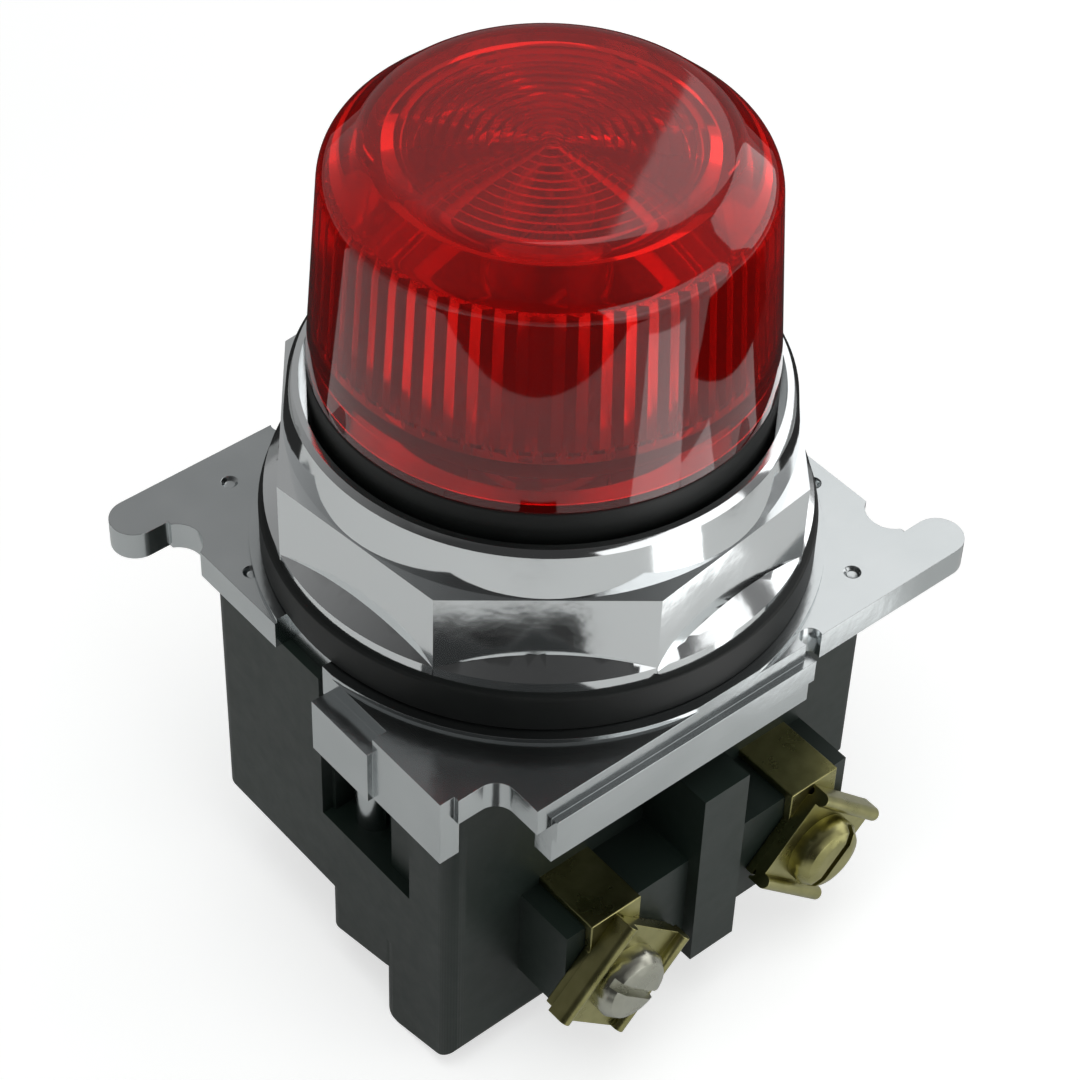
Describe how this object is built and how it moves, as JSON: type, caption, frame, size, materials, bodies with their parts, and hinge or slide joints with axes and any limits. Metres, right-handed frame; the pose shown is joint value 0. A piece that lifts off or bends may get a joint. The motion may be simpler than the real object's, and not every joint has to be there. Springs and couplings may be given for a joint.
{
  "type": "panel pilot light",
  "caption": "Round panel pilot light with a fluted red screw-on lens, chrome octagonal mounting nut, cast base with fingers and a black transformer light unit with screw terminals.",
  "frame": {"origin": "on the bushing's axis at the gasket's front face, where the back of the panel seats", "axes": "+Z out of the panel towards the lens, -Y towards the terminals, +X to the right seen with the terminals in front"},
  "size_m": [0.0524, 0.0492, 0.0745],
  "materials": {
    "red_lens": "transparent red, moulded",
    "black_rubber": "matt",
    "chrome_plate": "polished",
    "cast_zinc": "bright, satin",
    "clear_glass": "clear",
    "wire_steel": "drawn",
    "brass": "plain",
    "black_glass": "glossy",
    "solder": "dull",
    "phenolic": "moulded",
    "black_moulding": "satin",
    "lamination_steel": "dull",
    "nylon": "moulded",
    "copper_winding": "enamelled",
    "plated_brass": "olive, plated",
    "plated_screw": "bright",
    "zinc_screw": "plated"
  },
  "bodies": {
    "base": {"operator_base": "cast_zinc", "panel_gasket": "black_rubber", "socket_shell": "brass", "socket_plate": "phenolic", "contact_spring": "wire_steel", "light_unit_housing": "black_moulding", "transformer_core": "lamination_steel", "bobbin": "nylon", "primary_coil": "copper_winding", "secondary_coil": "copper_winding", "terminal_strip_1": "plated_brass", "terminal_strip_2": "plated_brass"},
    "nut": {"mounting_nut": "chrome_plate"},
    "lens_seal": {"lens_seal": "black_rubber"},
    "lens": {"lens": "red_lens"},
    "contact": {"contact_plunger": "brass"},
    "lamp": {"lamp_glass": "clear_glass", "lamp_filament": "wire_steel", "lamp_cap": "brass", "lamp_insulator": "black_glass", "lamp_tip": "solder"},
    "clamp_1": {"saddle_clamp_1": "plated_brass"},
    "clamp_2": {"saddle_clamp_2": "plated_brass"},
    "screw_1": {"terminal_screw_1": "plated_screw"},
    "screw_2": {"terminal_screw_2": "plated_screw"},
    "mount_screw_1": {"mounting_screw_1": "zinc_screw"},
    "mount_screw_2": {"mounting_screw_2": "zinc_screw"}
  },
  "joints": [
    {"name": "nut_turn", "type": "hinge", "parent": "base", "child": "nut", "pos_m": [0, 0, 0], "axis": [0, 0, 1], "range_deg": [0, 1440]},
    {"name": "lens_lift", "type": "slide", "parent": "base", "child": "lens_seal", "axis": [0, 0, 1], "range_m": [0, 0.004]},
    {"name": "lens_turn", "type": "hinge", "parent": "lens_seal", "child": "lens", "pos_m": [0, 0, 0], "axis": [0, 0, 1], "range_deg": [0, 720]},
    {"name": "lamp_press", "type": "slide", "parent": "base", "child": "contact", "axis": [0, 0, -1], "range_m": [0, 0.0012], "stiffness_N_per_m": 1500, "springref_m": -0.0015, "deforming": ["contact_spring"]},
    {"name": "lamp_turn", "type": "hinge", "parent": "contact", "child": "lamp", "pos_m": [0, 0, 0], "axis": [0, 0, 1], "range_deg": [0, 40]},
    {"name": "clamp_1_lift", "type": "slide", "parent": "base", "child": "clamp_1", "axis": [0, -1, 0], "range_m": [0, 0.0028]},
    {"name": "screw_1_turn", "type": "hinge", "parent": "clamp_1", "child": "screw_1", "pos_m": [-0.0105, -0.024, -0.0281], "axis": [0, -1, 0], "range_deg": [0, 1440]},
    {"name": "clamp_2_lift", "type": "slide", "parent": "base", "child": "clamp_2", "axis": [0, -1, 0], "range_m": [0, 0.0028]},
    {"name": "screw_2_turn", "type": "hinge", "parent": "clamp_2", "child": "screw_2", "pos_m": [0.0105, -0.024, -0.0281], "axis": [0, -1, 0], "range_deg": [0, 1440]},
    {"name": "mounting_screw_1_turn", "type": "hinge", "parent": "base", "child": "mount_screw_1", "pos_m": [-0.0188, -0.0033, -0.026], "axis": [0, 0, -1], "range_deg": [0, 1440]},
    {"name": "mounting_screw_2_turn", "type": "hinge", "parent": "base", "child": "mount_screw_2", "pos_m": [0.0188, 0.0033, -0.026], "axis": [0, 0, -1], "range_deg": [0, 1440]}
  ],
  "couplings": [
    {"joint": "lens_turn", "follows": "lens_lift", "rad_per_m": 3141.6},
    {"joint": "screw_1_turn", "follows": "clamp_1_lift", "rad_per_m": 8976},
    {"joint": "screw_2_turn", "follows": "clamp_2_lift", "rad_per_m": 8976}
  ]
}
